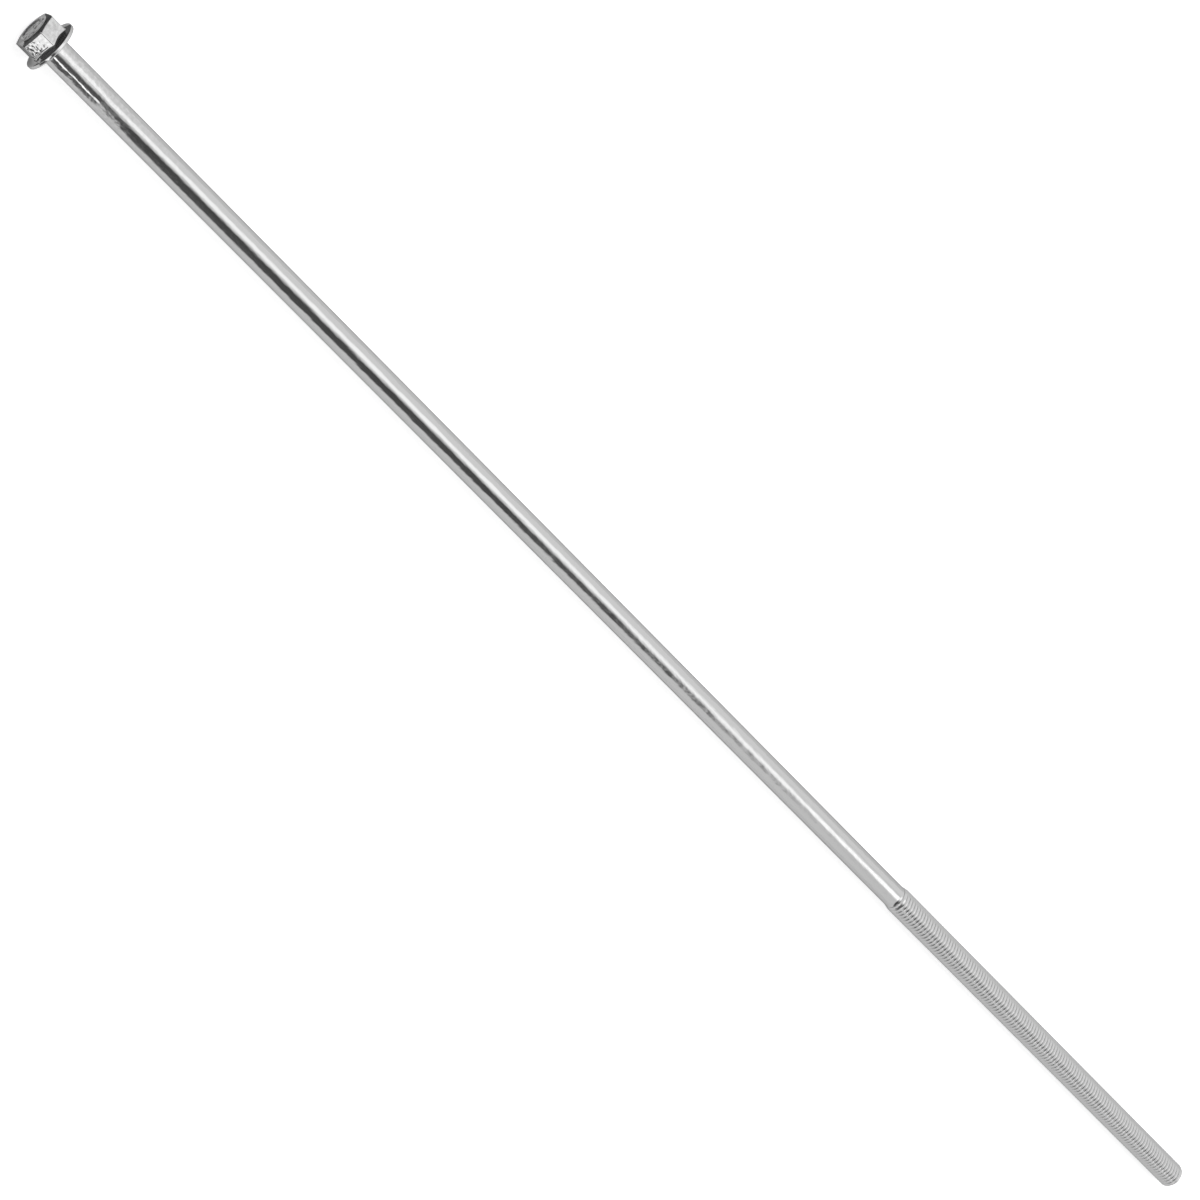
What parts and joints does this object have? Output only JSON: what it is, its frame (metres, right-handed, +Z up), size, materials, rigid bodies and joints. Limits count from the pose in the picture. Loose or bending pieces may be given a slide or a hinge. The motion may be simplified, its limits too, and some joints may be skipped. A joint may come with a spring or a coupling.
{
  "type": "spring screw",
  "caption": "Long slender one-piece screw: small indented hex flange head, plain reduced shank, and a rolled thread with a rounded point at the far end; bright zinc plated.",
  "frame": {"origin": "centre of the flange's bearing face, on the screw's axis", "axes": "+X along the screw from the head to the point, dipping 0.38 degrees because the screw lies on the rim of its flange and on the end of its thread; +Z up from the surface it lies on"},
  "size_m": [0.4965, 0.0142, 0.0142],
  "materials": {
    "bright_zinc": "bright zinc plate on cold-formed steel"
  },
  "bodies": {
    "root": {"spring_screw": "bright_zinc"}
  },
  "joints": []
}
